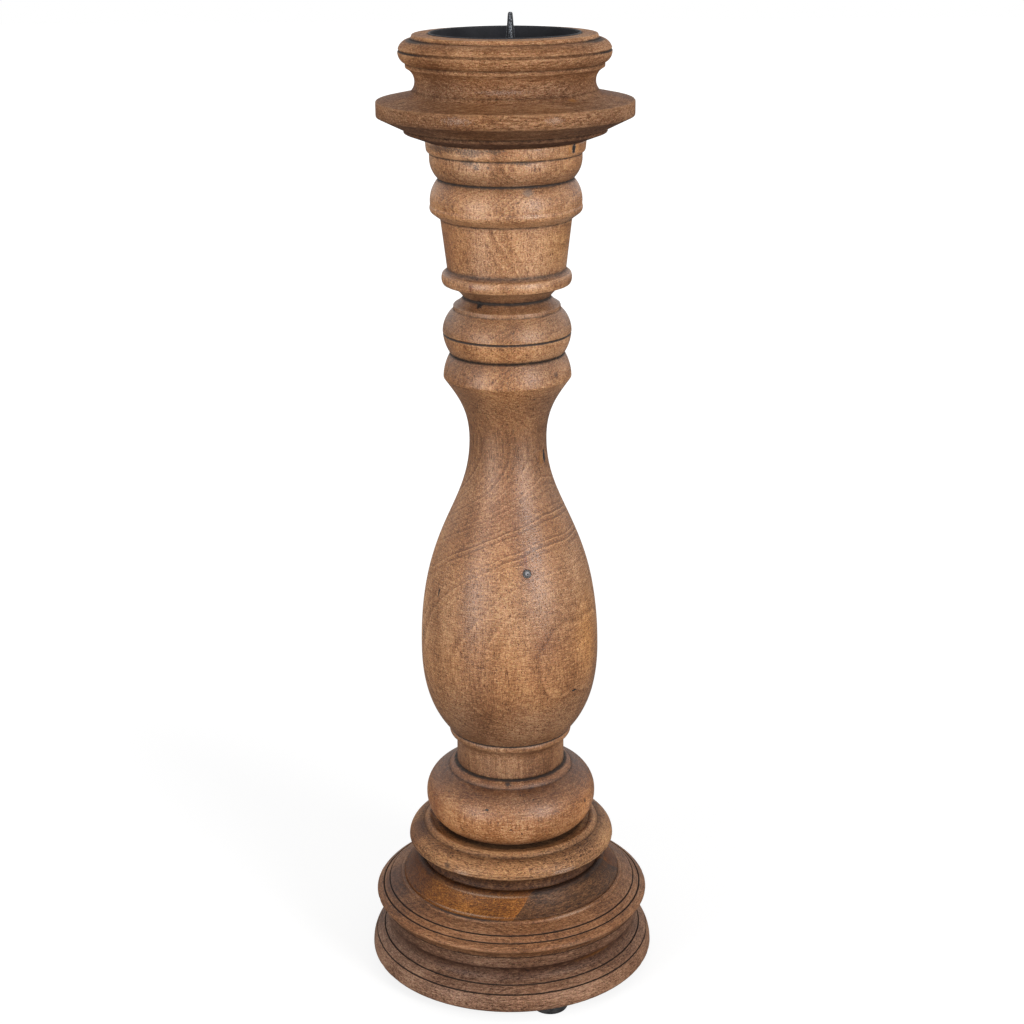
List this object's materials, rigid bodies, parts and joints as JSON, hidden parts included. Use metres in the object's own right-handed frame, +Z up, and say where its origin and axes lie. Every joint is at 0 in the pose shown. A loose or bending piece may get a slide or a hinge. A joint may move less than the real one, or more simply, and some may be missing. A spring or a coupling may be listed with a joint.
{
  "type": "pricket candle stand",
  "caption": "Tall turned wooden candle stand with a stepped round base, a baluster shaft, a flanged cup and a lift-out black drip pan with a spike.",
  "frame": {"origin": "on the floor, under the middle of the base", "axes": "+Z up along the column, -Y towards the viewer of the picture, +X to the right"},
  "size_m": [0.185, 0.185, 0.6115],
  "materials": {
    "column_wood": "stained, satin wax over dark glaze in the grooves",
    "base_wood": "stained darker, satin wax over dark glaze in the grooves",
    "dowel_wood": "bare",
    "black_iron": "matt black, slightly rough",
    "zinc_steel": "dull zinc",
    "black_rubber": "smooth black"
  },
  "bodies": {
    "stand": {"candle_cup": "column_wood", "capital": "column_wood", "baluster": "column_wood", "bun": "column_wood", "step_ring": "base_wood", "block_middle_board": "base_wood", "block_right_board": "base_wood", "block_left_board": "base_wood", "base_tier": "base_wood", "plinth": "base_wood", "cup_dowel": "dowel_wood", "shaft_dowel": "dowel_wood", "foot_dowel": "dowel_wood", "base_screws": "zinc_steel", "foot_screws": "zinc_steel", "rubber_foot_1": "black_rubber", "rubber_foot_2": "black_rubber", "rubber_foot_3": "black_rubber", "rubber_foot_4": "black_rubber"},
    "pan": {"drip_pan": "black_iron", "pricket_spike": "black_iron", "spike_washer": "zinc_steel", "spike_nut": "zinc_steel"}
  },
  "joints": [
    {"name": "pan_lift", "type": "slide", "parent": "stand", "child": "pan", "axis": [0, 0, 1], "range_m": [0, 0.05]}
  ]
}
